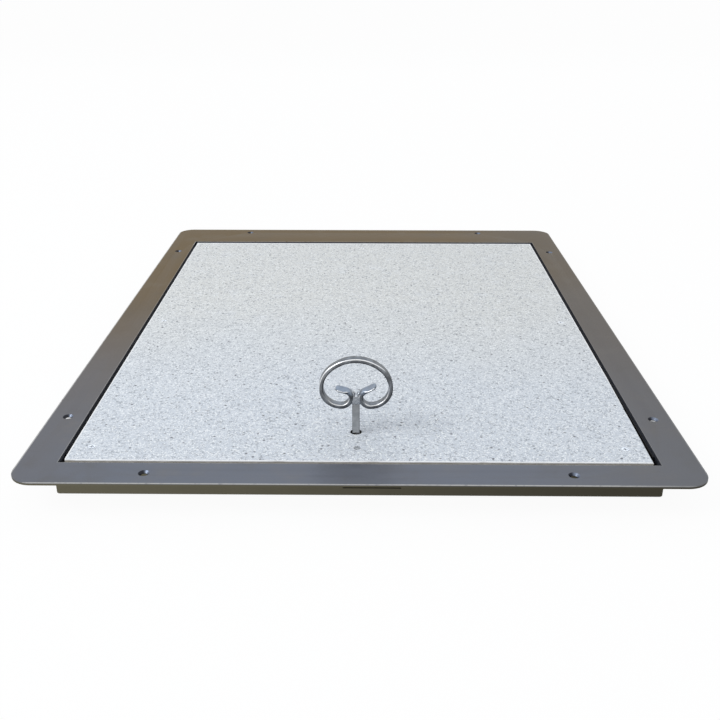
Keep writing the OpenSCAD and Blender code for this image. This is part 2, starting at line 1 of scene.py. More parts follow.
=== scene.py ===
# Access hatch, dressed: eased edges, surfaces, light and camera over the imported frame
import json
from math import cos, pi, radians, sin

import bmesh
import bpy
from mathutils import Matrix, Vector, noise

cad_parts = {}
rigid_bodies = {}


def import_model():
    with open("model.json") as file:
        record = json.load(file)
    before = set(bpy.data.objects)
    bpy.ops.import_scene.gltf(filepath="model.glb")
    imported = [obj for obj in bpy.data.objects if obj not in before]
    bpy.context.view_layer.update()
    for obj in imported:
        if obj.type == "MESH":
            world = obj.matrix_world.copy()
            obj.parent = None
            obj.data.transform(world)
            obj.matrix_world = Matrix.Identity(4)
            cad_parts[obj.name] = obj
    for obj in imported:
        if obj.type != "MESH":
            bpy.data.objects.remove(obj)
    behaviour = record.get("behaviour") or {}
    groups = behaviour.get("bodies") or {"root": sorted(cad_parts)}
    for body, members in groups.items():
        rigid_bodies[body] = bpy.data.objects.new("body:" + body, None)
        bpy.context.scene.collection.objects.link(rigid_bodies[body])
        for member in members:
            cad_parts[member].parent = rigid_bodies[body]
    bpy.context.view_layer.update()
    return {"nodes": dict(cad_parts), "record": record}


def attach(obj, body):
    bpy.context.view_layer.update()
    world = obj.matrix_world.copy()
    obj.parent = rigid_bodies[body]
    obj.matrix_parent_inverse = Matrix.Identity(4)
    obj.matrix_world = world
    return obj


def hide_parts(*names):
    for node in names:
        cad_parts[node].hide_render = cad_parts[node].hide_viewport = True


for old in list(bpy.data.objects):
    bpy.data.objects.remove(old)
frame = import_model()
body_of_node = {
    node: body for body, nodes in frame["record"]["behaviour"]["bodies"].items() for node in nodes
}
slot_of_node = {row["node"]: row["material_slot"] for row in frame["record"]["subparts"]}

# Main sizes, in metres, as the model has them
TOP = 0.032
FRAME_X, FRAME_Y = 0.300, 0.400
OPEN_X, OPEN_FRONT, OPEN_BACK = 0.265, -0.365, 0.330
BOARD_X, BOARD_FRONT, BOARD_BACK, BOARD_LOW = 0.261, -0.361, 0.322, 0.017
PLATE_LOW, COLLAR_X, COLLAR_FRONT, BEND = 0.0295, 0.267, -0.367, 0.004
KEY_X, KEY_Y = -0.0033, -0.3055
STRIP_W, STRIP_T, STRIP_EDGE = 0.009, 0.004, 0.0012
KEY_SQ, SHAFT_TOP = 0.0068, 0.0698
SCREW_SHIFT = 0.0025
SCREWS = [
    (x, y) for y in (-0.336, 0.297) for x in (-0.243, -0.0017, 0.243)
] + [(-0.243, -0.0195), (0.243, -0.0195)]
SCREWS[2] = (0.243 - SCREW_SHIFT, -0.336)


# ---------------------------------------------------------------- shader maths
class Socket:
    """A varying value on a surface; an expression on it adds its nodes."""

    def __init__(self, surface, out):
        self.surface = surface
        self.out = out

    def maths(self, operation, *values):
        return self.surface.node("ShaderNodeMath", {"operation": operation}, dict(enumerate(values)))

    def __add__(self, other):
        return self.maths("ADD", self, other)

    def __sub__(self, other):
        return self.maths("SUBTRACT", self, other)

    def __rsub__(self, other):
        return self.maths("SUBTRACT", other, self)

    def __mul__(self, other):
        return self.maths("MULTIPLY", self, other)

    def __truediv__(self, other):
        return self.maths("DIVIDE", self, other)

    def __pow__(self, other):
        return self.maths("POWER", self, other)

    __radd__ = __add__
    __rmul__ = __mul__

    def size(self):
        return self.maths("ABSOLUTE", self)

    def least(self, other):
        return self.maths("MINIMUM", self, other)

    def most(self, other):
        return self.maths("MAXIMUM", self, other)

    def rise(self, low, high):
        """0 up to low, 1 from high on, and smooth between; high below low turns it round."""
        return self.surface.node(
            "ShaderNodeMapRange", {"interpolation_type": "SMOOTHSTEP"},
            {"Value": self, "From Min": low, "From Max": high})


class Surface:
    """A material, or the world, as a row of nodes."""

    def __init__(self, name, owner=None):
        self.owner = owner or bpy.data.materials.new(name)
        self.owner.use_nodes = True
        self.tree = self.owner.node_tree
        self.tree.nodes.clear()

    def node(self, kind, settings=None, values=None, out=0):
        made = self.tree.nodes.new(kind)
        for key, value in (settings or {}).items():
            if key == "stops":
                while len(made.color_ramp.elements) < len(value):
                    made.color_ramp.elements.new(0.5)
                for stop, (at, colour) in zip(made.color_ramp.elements, value):
                    stop.position = at
                    stop.color = (*colour, 1)
            else:
                setattr(made, key, value)
        for key, value in (values or {}).items():
            target = made.inputs[key]
            if isinstance(value, Socket):
                self.tree.links.new(value.out, target)
            elif isinstance(value, tuple) and target.type == "RGBA":
                target.default_value = (*value, 1)
            else:
                target.default_value = value
        return Socket(self, made.outputs[out] if made.outputs else None)

    def place(self):
        return self.node("ShaderNodeTexCoord", out="Object")

    def axes(self, vector):
        split = self.node("ShaderNodeSeparateXYZ", values={0: vector}).out.node
        return [Socket(self, out) for out in split.outputs]

    def stretched(self, vector, scale):
        return self.node("ShaderNodeVectorMath", {"operation": "MULTIPLY"}, {0: vector, 1: scale})

    def clouds(self, vector, scale, detail=2.0, rough=0.5, warp=0.0):
        return self.node("ShaderNodeTexNoise", values={
            "Vector": vector, "Scale": scale, "Detail": detail, "Roughness": rough, "Distortion": warp})

    def cells(self, vector, scale, feature="F1", out="Distance"):
        return self.node("ShaderNodeTexVoronoi", {"feature": feature},
                         {"Vector": vector, "Scale": scale}, out)

    def mix(self, share, low, high):
        made = self.tree.nodes.new("ShaderNodeMix")
        made.data_type = "RGBA"
        for index, value in ((0, share), (6, low), (7, high)):
            target = made.inputs[index]
            if isinstance(value, Socket):
                self.tree.links.new(value.out, target)
            elif isinstance(value, tuple):
                target.default_value = (*value, 1)
            else:
                target.default_value = value
        return Socket(self, made.outputs[2])

    def bump(self, height, depth, strength=1.0, under=None):
        values = {"Height": height, "Distance": depth, "Strength": strength}
        if under:
            values["Normal"] = under
        return self.node("ShaderNodeBump", values=values)

    def finish(self, **values):
        """A Principled surface; an underscore in a name stands for a space."""
        shader = self.node("ShaderNodeBsdfPrincipled", values={
            key.replace("_", " "): value for key, value in values.items()})
        self.node("ShaderNodeOutputMaterial", values={"Surface": shader})
        return self.owner


# ---------------------------------------------------------------- finishes
def frame_paint():
    s = Surface("satin frame paint")
    at = s.place()
    x, y, z = s.axes(at)
    drift = s.clouds(at, 4.0, 3.0, 0.55)
    patches = s.clouds(at, 22.0, 3.0, 0.6)
    grain = s.clouds(at, 1400.0, 2.0)
    # Painted reflection: the plate is tinted cool towards the lock side and warm towards the back and the far left
    # end, as if it mirrored sky in front and a warm wall behind
    cool = (y + (drift - 0.5) * 0.35 + (x + 0.20).rise(0.0, -0.10) * 0.12).rise(0.34, -0.42)
    plate = s.mix(cool, (0.156, 0.112, 0.060), (0.143, 0.153, 0.178))
    plate = s.mix((patches - 0.5).rise(0.0, 0.35) * 0.35, plate, (0.210, 0.185, 0.152))
    plate = s.mix((0.5 - patches).rise(0.0, 0.35) * 0.38, plate, (0.114, 0.101, 0.080))
    # Painted shade: the plate turns darker and greyer towards the right end, away from the light on the left
    plate = s.mix((x - (drift - 0.5) * 0.2).rise(0.10, 0.30) * 0.5, plate, (0.126, 0.119, 0.112))
    # Painted shade: the collar is olive, painted darker than the plate as shade under its overhang, and darker still
    # towards the right, away from the light on the left
    collar = s.mix((x + (patches - 0.5) * 0.1).rise(-0.30, 0.28), (0.128, 0.119, 0.084),
                   (0.050, 0.046, 0.033))
    opening = (x.size() - OPEN_X).most(OPEN_FRONT - y).most(y - OPEN_BACK)
    # Painted highlight: the collar's inner face along the opening turns pale blue towards the top
    lip_highlight = opening.rise(0.0008, 0.0004) * z.rise(0.019, 0.031)
    collar = s.mix(lip_highlight, collar, (0.17, 0.19, 0.25))
    colour = s.mix(z.rise(0.0309, 0.0314), collar, plate)
    # Painted light and shade in the countersinks and holes: walls that face left are painted pale, walls that face
    # right and the bores are painted dark, as if lit from the left
    ax, ay = x.size(), y.size()
    end_hole = ((ax - 0.185) * (ax - 0.185) + (ay - 0.3825) * (ay - 0.3825)) ** 0.5
    side_hole = ((ax - 0.2825) * (ax - 0.2825) + (ay - 0.277) * (ay - 0.277)) ** 0.5
    facing = s.axes(s.node("ShaderNodeTexCoord", out="Normal"))
    hole_light_and_shade = s.mix(facing[0].rise(-0.25, 0.30), (0.17, 0.20, 0.265), (0.022, 0.024, 0.034))
    hole_light_and_shade = s.mix(z.rise(0.0302, 0.0297), hole_light_and_shade, (0.02, 0.02, 0.024))
    colour = s.mix(end_hole.least(side_hole).rise(0.0052, 0.0048) * 0.9, colour, hole_light_and_shade)
    # The plate's outer and inner edges are painted a little bright: partly rubbed paint, partly painted highlight,
    # fading towards the right end and stronger along the back of the opening
    outer = (FRAME_X - x.size()).least(FRAME_Y - y.size())
    inner = opening.size()
    patchy_edges = s.clouds(at, 160.0, 3.0, 0.6).rise(0.20, 0.50)
    ends = x.rise(0.29, 0.20) * 0.7 + 0.3
    edge_wear_and_highlight = outer.rise(0.0014, 0.0008).most(inner.rise(0.0010, 0.0004) * (y.rise(0.30, 0.32) * 0.6 + 0.35)) * patchy_edges * ends
    edge_wear_and_highlight = edge_wear_and_highlight * z.rise(0.0314, 0.0318)
    colour = s.mix(edge_wear_and_highlight * 0.85, colour, (0.47, 0.46, 0.44))
    scuffs = s.clouds(s.stretched(at, (1.0, 6.0, 1.0)), 60.0, 5.0, 0.7).rise(0.60, 0.74)
    rough = 0.40 + (drift - 0.5) * 0.10 + scuffs * 0.08 + (grain - 0.5) * 0.08
    normal = s.bump(s.clouds(at, 520.0, 2.0, 0.5), 0.00004, 0.45)
    normal = s.bump(s.clouds(at, 14.0, 2.0, 0.4), 0.0012, 0.25, normal)
    return s.finish(Base_Color=colour, Roughness=rough, Metallic=0.92, Normal=normal,
                    Specular_Tint=(0.60, 0.60, 0.60))


def mineral_board():
    s = Surface("mineral board")
    at = s.place()
    x, y, z = s.axes(at)
    mottle = s.clouds(at, 9.0, 3.0, 0.6)
    cloud = s.clouds(at, 45.0, 4.0, 0.65)
    speck = s.clouds(at, 330.0, 4.0, 0.75)
    fine = s.clouds(at, 700.0, 2.0, 0.6)
    # Painted reflection: the board is tinted cool towards the front and neutral towards the back
    cool = (y + (mottle - 0.5) * 0.2).rise(0.12, -0.30)
    colour = s.mix(cool, (0.665, 0.668, 0.645), (0.622, 0.662, 0.712))
    colour = s.mix((cloud - 0.5).rise(0.0, 0.3) * 0.5, colour, (0.75, 0.775, 0.81))
    colour = s.mix(speck.rise(0.52, 0.30), colour, (0.25, 0.27, 0.30))
    colour = s.mix(fine.rise(0.50, 0.66) * 0.85, colour, (0.98, 1.0, 1.0))
    pits = s.cells(at, 150.0).rise(0.26, 0.10)
    kept = s.node("ShaderNodeSeparateColor", values={
        0: s.cells(at, 150.0, out="Color")}).rise(0.68, 0.84)
    colour = s.mix(pits * kept * 0.9, colour, (0.13, 0.13, 0.145))
    # The cut sides show the cream core, and a painted highlight whitens the top face along the arris
    face = z.rise(TOP - 0.0012, TOP - 0.0006)
    core = s.mix(s.clouds(at, 260.0, 4.0, 0.7), (0.36, 0.33, 0.27), (0.80, 0.76, 0.67))
    side = (BOARD_X - x.size()).least(y - BOARD_FRONT).least(BOARD_BACK - y)
    white = (side + (cloud - 0.5) * 0.0010 - y.rise(0.30, 0.32) * 0.0016).rise(0.0017, 0.0010)
    colour = s.mix(white * 0.9, colour, (0.95, 0.95, 0.95))
    colour = s.mix(face, core, colour)
    # Inside the key hole no light falls
    hole = ((x - KEY_X) * (x - KEY_X) + (y - KEY_Y) * (y - KEY_Y)) ** 0.5
    colour = s.mix(hole.rise(0.0057, 0.0051), colour, (0.012, 0.012, 0.014))
    height = cloud * 0.5 + speck * 0.35 - pits * kept * 0.8
    normal = s.bump(height, 0.0004, 0.5)
    return s.finish(Base_Color=colour, Roughness=0.72 + (speck - 0.5) * 0.2, Normal=normal,
                    Specular_IOR_Level=0.25)


def key_steel():
    s = Surface("dull zinc on the key")
    at = s.place()
    x, y, z = s.axes(at)
    hammer = s.cells(at, 260.0)
    clouds = s.clouds(at, 130.0, 4.0, 0.6)
    fine = s.clouds(at, 1500.0, 3.0, 0.6)
    facing = s.axes(s.node("ShaderNodeTexCoord", out="Normal"))
    strip = s.mix(clouds.rise(0.36, 0.66), (0.125, 0.133, 0.145), (0.275, 0.297, 0.325))
    # Painted light: the bow is painted lighter towards its left, the side the light comes from
    strip = s.mix((KEY_X - x).rise(0.012, 0.030) * 0.35, strip, (0.40, 0.42, 0.44))
    shaft = s.mix(clouds.rise(0.36, 0.66), (0.39, 0.397, 0.40), (0.51, 0.515, 0.52))
    # The shaft is greyer than the strip; painted shade darkens its long edges and a painted highlight whitens its top
    # end
    across = (x - KEY_X).size()
    shaft = s.mix(across.rise(KEY_SQ / 2 - 0.0009, KEY_SQ / 2 - 0.0002) * 0.6, shaft, (0.07, 0.072, 0.08))
    cap = z.rise(SHAFT_TOP - 0.0003, SHAFT_TOP - 0.0001) * (y - KEY_Y).rise(-0.0022, -0.0014)
    shaft = s.mix(cap, shaft, (0.93, 0.94, 0.96))
    wings = z.rise(0.0705, 0.0735) * z.rise(0.094, 0.090) * across.rise(0.024, 0.021)
    out = (y - KEY_Y).size() - wings * 0.0016
    # Painted reflection: the wings are tinted sky blue
    strip = s.mix(wings * 0.6, strip, (0.25, 0.305, 0.39))
    # The strip's rounded edges: painted shade where they look down and right, and a painted highlight along the front
    # arris where it looks up and left
    lit = facing[2] * 0.85 - facing[0] * 0.5
    edge = out.rise(STRIP_W / 2 - STRIP_EDGE - 0.0001, STRIP_W / 2 - STRIP_EDGE + 0.0003)
    strip = s.mix(edge * lit.rise(0.12, -0.32) * 0.85, strip, (0.03, 0.032, 0.037))
    front = 0.0 - facing[1]
    # Painted shade: faces that look up, except on the wings, are darkened
    strip = s.mix(facing[2].rise(0.5, 0.9) * (1.0 - wings) * 0.34, strip, (0.085, 0.092, 0.10))
    # Painted highlight: a near-white line along the strip's front arris
    arris = front.rise(0.12, 0.30) * front.rise(0.98, 0.84) * out.rise(STRIP_W / 2 - 0.0014, STRIP_W / 2 - 0.0010)
    strip = s.mix(arris * lit.rise(0.10, 0.34) * 0.9, strip, (0.92, 0.93, 0.95))
    # Painted shade: faces that look down are darkened
    strip = s.mix(facing[2].rise(0.0, -0.5) * 0.5, strip, (0.07, 0.073, 0.082))
    in_shaft = across.rise(KEY_SQ / 2 + 0.0001, KEY_SQ / 2 - 0.0001) * out.rise(
        KEY_SQ / 2 + 0.0003, KEY_SQ / 2 + 0.0001) * z.rise(SHAFT_TOP + 0.002, SHAFT_TOP + 0.001)
    colour = s.mix(in_shaft, strip, shaft)
    colour = s.mix(fine.rise(0.58, 0.76) * 0.3, colour, (0.45, 0.47, 0.50))
    colour = s.mix(s.clouds(at, 420.0, 3.0, 0.7).rise(0.60, 0.72) * 0.45, colour, (0.06, 0.058, 0.055))
    rough = 0.32 + (clouds - 0.5) * 0.22 + (fine - 0.5) * 0.10
    normal = s.bump(hammer * 0.6 + clouds, 0.0005, 0.35)
    normal = s.bump(fine, 0.00003, 0.5, normal)
    return s.finish(Base_Color=colour, Roughness=rough, Metallic=1.0, Normal=normal,
                    Specular_Tint=(0.7, 0.7, 0.7))


def weld_bead():
    s = Surface("weld bead")
    at = s.place()
    x, y, z = s.axes(at)
    wavy = s.clouds(at, 300.0, 3.0, 0.6)
    wave = z * 5200.0 + wavy * 5.0
    ripple = wave.maths("SINE", wave) * 0.5 + 0.5
    colour = s.mix(wavy, (0.24, 0.26, 0.29), (0.50, 0.53, 0.57))
    colour = s.mix(s.clouds(at, 700.0, 3.0).rise(0.62, 0.72) * 0.5, colour, (0.08, 0.075, 0.07))
    normal = s.bump(ripple * 0.5 + wavy, 0.0003, 0.5)
    return s.finish(Base_Color=colour, Roughness=0.26 + (wavy - 0.5) * 0.2, Metallic=1.0, Normal=normal)


def galvanised_sheet():
    s = Surface("galvanised sheet")
    at = s.place()
    spangle = s.node("ShaderNodeSeparateColor", values={0: s.cells(at, 150.0, out="Color")})
    clouds = s.clouds(at, 30.0, 3.0, 0.6)
    colour = s.mix(spangle, (0.40, 0.41, 0.43), (0.62, 0.64, 0.66))
    colour = s.mix(clouds.rise(0.50, 0.70) * 0.4, colour, (0.34, 0.34, 0.34))
    rough = 0.34 + spangle * 0.14 + (clouds - 0.5) * 0.1
    normal = s.bump(spangle * 0.4 + s.clouds(at, 600.0, 2.0), 0.00004, 0.5)
    return s.finish(Base_Color=colour, Roughness=rough, Metallic=1.0, Normal=normal)


def bright_zinc():
    s = Surface("bright zinc")
    at = s.place()
    clouds = s.clouds(at, 220.0, 4.0, 0.6)
    fine = s.clouds(at, 1800.0, 2.0)
    colour = s.mix(clouds.rise(0.35, 0.70), (0.56, 0.59, 0.63), (0.78, 0.80, 0.82))
    colour = s.mix(s.clouds(at, 500.0, 3.0, 0.7).rise(0.62, 0.75) * 0.6, colour, (0.30, 0.29, 0.27))
    normal = s.bump(fine, 0.00002, 0.5)
    return s.finish(Base_Color=colour, Roughness=0.24 + (clouds - 0.5) * 0.2, Metallic=1.0, Normal=normal)


def spring_steel():
    s = Surface("blackened spring steel")
    at = s.place()
    clouds = s.clouds(at, 300.0, 3.0, 0.6)
    colour = s.mix(clouds, (0.06, 0.06, 0.065), (0.16, 0.16, 0.165))
    return s.finish(Base_Color=colour, Roughness=0.35 + (clouds - 0.5) * 0.2, Metallic=1.0,
                    Normal=s.bump(s.clouds(at, 1500.0), 0.00002, 0.4))


def seal_rubber():
    s = Surface("seal rubber")
    at = s.place()
    bloom = s.clouds(at, 60.0, 4.0, 0.6)
    colour = s.mix(bloom.rise(0.45, 0.75), (0.016, 0.016, 0.018), (0.060, 0.060, 0.062))
    return s.finish(Base_Color=colour, Roughness=0.62 + (bloom - 0.5) * 0.25,
                    Normal=s.bump(s.clouds(at, 900.0, 3.0, 0.6), 0.0001, 0.5), Specular_IOR_Level=0.35)


def fire_strip():
    s = Surface("graphite fire strip")
    at = s.place()
    flakes = s.cells(at, 900.0)
    clouds = s.clouds(at, 120.0, 3.0, 0.6)
    colour = s.mix(flakes, (0.014, 0.0145, 0.017), (0.005, 0.005, 0.006))
    colour = s.mix(clouds.rise(0.55, 0.75) * 0.5, colour, (0.028, 0.028, 0.032))
    return s.finish(Base_Color=colour, Roughness=0.62 + (clouds - 0.5) * 0.2,
                    Normal=s.bump(flakes, 0.0002, 0.5), Specular_IOR_Level=0.2)


def mineral_wool():
    s = Surface("mineral wool")
    at = s.place()
    fibres = s.clouds(s.stretched(at, (1.0, 6.0, 3.0)), 160.0, 6.0, 0.75, 0.8)
    tufts = s.clouds(at, 50.0, 4.0, 0.65)
    colour = s.mix(fibres.rise(0.34, 0.66), (0.30, 0.25, 0.14), (0.66, 0.60, 0.42))
    colour = s.mix(tufts.rise(0.55, 0.75) * 0.4, colour, (0.74, 0.70, 0.56))
    return s.finish(Base_Color=colour, Roughness=0.92,
                    Normal=s.bump(fibres * 0.6 + tufts, 0.0012, 0.8), Specular_IOR_Level=0.15)


finishes = {
    "paint": frame_paint(),
    "rubber": seal_rubber(),
    "graphite": fire_strip(),
    "galvanised": galvanised_sheet(),
    "zinc": bright_zinc(),
    "spring": spring_steel(),
    "key_steel": key_steel(),
    "weld": weld_bead(),
    "mineral_board": mineral_board(),
    "mineral_wool": mineral_wool(),
}


# ---------------------------------------------------------------- making pieces
def new_piece(name, mesh, node, smooth=20):
    """A piece that stands for a node: its body and its finish, with the node hidden."""
    for face in mesh.polygons:
        face.use_smooth = True
    mesh.set_sharp_from_angle(angle=radians(smooth))
    piece = bpy.data.objects.new(name, mesh)
    bpy.context.scene.collection.objects.link(piece)
    mesh.materials.clear()
    mesh.materials.append(finishes[slot_of_node[node]])
    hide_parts(node)
    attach(piece, body_of_node[node])
    return piece


def clean_copy(node):
    """A node's solid as a bmesh: joined corners and whole flat faces."""
    solid = bmesh.new()
    solid.from_mesh(frame["nodes"][node].data if isinstance(frame["nodes"], dict)
                    else bpy.data.objects[node].data)
    bmesh.ops.remove_doubles(solid, verts=solid.verts, dist=0.000004)
    bmesh.ops.dissolve_limit(solid, angle_limit=radians(0.6), verts=solid.verts, edges=solid.edges)
    return solid


def as_mesh(solid, name):
    mesh = bpy.data.meshes.new(name)
    solid.to_mesh(mesh)
    solid.free()
    return mesh


def eased(solid, node, name, width, crease=28, rounds=2):
    """A piece for a node, with the solid's sharp edges broken by this width."""
    sharp = [e for e in solid.edges if e.is_manifold and e.calc_face_angle(0) > radians(crease)]
    bmesh.ops.bevel(solid, geom=sharp, offset=width, segments=rounds, profile=0.5, affect="EDGES",
                    clamp_overlap=True)
    return new_piece(name, as_mesh(solid, name), node)


def painted_frame():
    """The frame; its collar stands out a little further at the front and the sides."""
    solid = clean_copy("surround_frame")
    for v in solid.verts:
        x, y, z = v.co
        if z < PLATE_LOW + 0.0001:
            wide, deep = abs(x) - COLLAR_X, COLLAR_FRONT - y
            if wide < 0.0001 and (wide > -0.00195 or z < 0.0015):
                v.co.x += 0.0011 * max(0.0, 1 + wide / BEND) * (1 if x > 0 else -1)
            if deep < 0.0001 and (deep > -0.00195 or z < 0.0015):
                v.co.y -= 0.0016 * max(0.0, 1 + deep / BEND)
    eased(solid, "surround_frame", "painted_frame", 0.00035)


# ---------------------------------------------------------------- board
def outline_points(step):
    """Points round the board's outline, with the outward direction at each."""
    # The right-hand side was cut a little askew towards the front
    corners = [(-BOARD_X, BOARD_FRONT), (BOARD_X - 0.0018, BOARD_FRONT), (BOARD_X, -0.18),
               (BOARD_X, BOARD_BACK), (-BOARD_X, BOARD_BACK)]
    points = []
    for i in range(len(corners)):
        a, b = Vector(corners[i]), Vector(corners[(i + 1) % len(corners)])
        count = max(2, round((b - a).length / step))
        along = (b - a).normalized()
        out = Vector((along.y, -along.x))
        before = Vector((corners[i][0], corners[i][1])) - Vector(corners[i - 1])
        before = before.normalized()
        before_out = Vector((before.y, -before.x))
        points.append((a, (before_out + out) / (1 + before_out.dot(out))))
        for k in range(1, count):
            points.append((a.lerp(b, k / count), out))
    return points


def cutter(low, high, low_d, high_d, x, y, sides=28):
    bm = bmesh.new()
    bmesh.ops.create_cone(bm, cap_ends=True, segments=sides, radius1=low_d / 2, radius2=high_d / 2,
                          depth=high - low, matrix=Matrix.Translation((x, y, (low + high) / 2)))
    return bm


def mineral_slab():
    """The board: a slab whose arris is a little ragged, with its holes cut."""
    points = outline_points(0.0022)
    slab = bmesh.new()
    rings = []
    for z, inset, jitter in ((BOARD_LOW, 0.0004, 0.0), (BOARD_LOW + 0.0004, 0.0, 0.0),
                             (TOP - 0.0010, 0.0, 0.00008), (TOP - 0.0003, 0.0001, 0.00025),
                             (TOP, 0.0004, 0.00035)):
        ring = []
        for p, out in points:
            rough = 1.0 if p.y < BOARD_FRONT + 0.0001 else 0.25
            ragged = noise.noise(Vector((p.x * 190, p.y * 190, z * 900))) * jitter * rough
            chip = max(0.0, noise.noise(Vector((p.x * 60, p.y * 60, 7.0))) - 0.35) * 0.002 * rough
            inward = max(inset + (ragged + chip if jitter else 0.0), 0.0)
            q = p - out * inward
            ring.append(slab.verts.new((q.x, q.y, z)))
        rings.append(ring)
    count = len(points)
    for low, high in zip(rings, rings[1:]):
        for i in range(count):
            j = (i + 1) % count
            slab.faces.new((low[i], low[j], high[j], high[i]))
    slab.faces.new(rings[-1])
    slab.faces.new(list(reversed(rings[0])))
    bmesh.ops.recalc_face_normals(slab, faces=slab.faces)
    piece = bpy.data.objects.new("fire_board", as_mesh(slab, "fire_board"))
    bpy.context.scene.collection.objects.link(piece)
    holes = bmesh.new()
    parts = []
    for x, y in SCREWS:
        parts.append(cutter(BOARD_LOW - 0.001, TOP - 0.0015, 0.0036, 0.0036, x, y))
        parts.append(cutter(TOP - 0.0020, TOP + 0.0006, 0.0034, 0.0086, x, y))
    parts.append(cutter(BOARD_LOW - 0.001, TOP + 0.001, 0.0105, 0.0105, KEY_X, KEY_Y, 64))
    parts.append(cutter(TOP - 0.0006, TOP + 0.0006, 0.0101, 0.0109, KEY_X, KEY_Y, 64))
    parts.append(cutter(BOARD_LOW - 0.001, BOARD_LOW + 0.0095, 0.021, 0.021, KEY_X, KEY_Y, 64))
    for x in (-0.021, 0.021):
        parts.append(cutter(BOARD_LOW - 0.001, BOARD_LOW + 0.009, 0.0036, 0.0036, KEY_X + x, KEY_Y))
    for part in parts:
        mesh = as_mesh(part, "hole")
        holes.from_mesh(mesh)
        bpy.data.meshes.remove(mesh)
    tool = bpy.data.objects.new("holes", as_mesh(holes, "holes"))
    bpy.context.scene.collection.objects.link(tool)
    cut = piece.modifiers.new("holes", "BOOLEAN")
    cut.operation = "DIFFERENCE"
    cut.solver = "EXACT"
    cut.use_self = True
    cut.object = tool
    shaped = bpy.data.meshes.new_from_object(piece.evaluated_get(bpy.context.evaluated_depsgraph_get()))
    bpy.data.objects.remove(piece)
    bpy.data.objects.remove(tool)
    shaped.name = "fire_board"
    return new_piece("fire_board", shaped, "board", 30)


# ---------------------------------------------------------------- key
BOW_TOP = 0.1058
BENDS = [(0.0349, 45), (0.0247, 45), (0.0183, 90), (0.0091127, 90), (0.006, None)]


WING_RUN = 0.013


def bow_path(wing_turn, wing_len, step=radians(2.5)):
    """Points and headings along one half of the bow, from its top to the wing's end."""
    at, heading = Vector((0.0, BOW_TOP)), 0.0
    path = [(at.copy(), heading)]
    for r, angle in BENDS:
        angle = radians(angle if angle else wing_turn)
        centre = at - r * Vector((-sin(heading), cos(heading)))
        count = max(2, round(angle / step))
        for k in range(1, count + 1):
            turned = heading - angle * k / count
            path.append((centre + r * Vector((-sin(turned), cos(turned))), turned))
        heading -= angle
        at = path[-1][0].copy()
    ahead = Vector((cos(heading), sin(heading)))
    for k in range(1, 13):
        path.append((at + ahead * wing_len * k / 12, heading))
    return path


def bent_strip():
    """The bow: one flat strip with rounded edges, bent round and out into two wings."""
    right = bow_path(62, 0.0122)
    left = [(Vector((-p.x, p.y)), pi - h) for p, h in bow_path(75, 0.010)]
    path = [(p, h + pi) for p, h in reversed(left[1:])] + right
    edge = STRIP_EDGE
    section = []
    for cx, cz, start in ((1, 1, 0), (-1, 1, 90), (-1, -1, 180), (1, -1, 270)):
        for k in range(6):
            a = radians(start + 18 * k)
            section.append((cx * (STRIP_W / 2 - edge) + edge * cos(a),
                            cz * (STRIP_T / 2 - edge) + edge * sin(a)))
    corner = 0.0042
    lengths = [0.0]
    for (p, _), (q, _) in zip(path, path[1:]):
        lengths.append(lengths[-1] + (q - p).length)
    total = lengths[-1]
    strip = bmesh.new()
    rings = []
    for (p, heading), run in zip(path, lengths):
        normal = Vector((-sin(heading), cos(heading)))
        from_end = min(run, total - run)
        narrow = 0.0
        if from_end < corner:
            narrow = corner - (corner ** 2 - (corner - from_end) ** 2) ** 0.5
        # The wings are beaten a little flatter and wider than the rest
        beaten = min(1.0, max(0.0, (WING_RUN - from_end) / 0.005))
        ring = []
        for across, up in section:
            side = max(-1.0, min(1.0, across / (STRIP_W / 2)))
            across_now = across - side * (narrow - 0.0021 * beaten)
            up *= 1.0 - 0.55 * beaten
            dent = noise.noise(Vector((run * 110, across * 170, up * 120))) * 0.00016
            wave = noise.noise(Vector((run * 45, 3.3, 0.0))) * 0.00018
            q = p + normal * (up + wave + dent * (1 if up > 0 else -1))
            ring.append(strip.verts.new((KEY_X + q.x, KEY_Y + across_now + dent, q.y)))
        rings.append(ring)
    count = len(section)
    for low, high in zip(rings, rings[1:]):
        for i in range(count):
            j = (i + 1) % count
            strip.faces.new((low[i], low[j], high[j], high[i]))
    strip.faces.new(rings[-1])
    strip.faces.new(list(reversed(rings[0])))
    bmesh.ops.recalc_face_normals(strip, faces=strip.faces)
    return new_piece("key_strip", as_mesh(strip, "key_strip"), "key_bow", 50)


def key_bar():
    """The shaft: it fits its socket below, and is a little thicker above the lock."""
    bar = bmesh.new()
    rings = []
    for z, side in ((0.018, 0.006), (0.0266, 0.006), (0.0274, KEY_SQ), (SHAFT_TOP, KEY_SQ)):
        rings.append([bar.verts.new((KEY_X + x * side / 2, KEY_Y + y * side / 2, z))
                      for x, y in ((-1, -1), (1, -1), (1, 1), (-1, 1))])
    for low, high in zip(rings, rings[1:]):
        for i in range(4):
            bar.faces.new((low[i - 1], low[i], high[i], high[i - 1]))
    bar.faces.new(rings[-1])
    bar.faces.new(rings[0][::-1])
    eased(bar, "key_shaft", "key_bar", 0.0005)


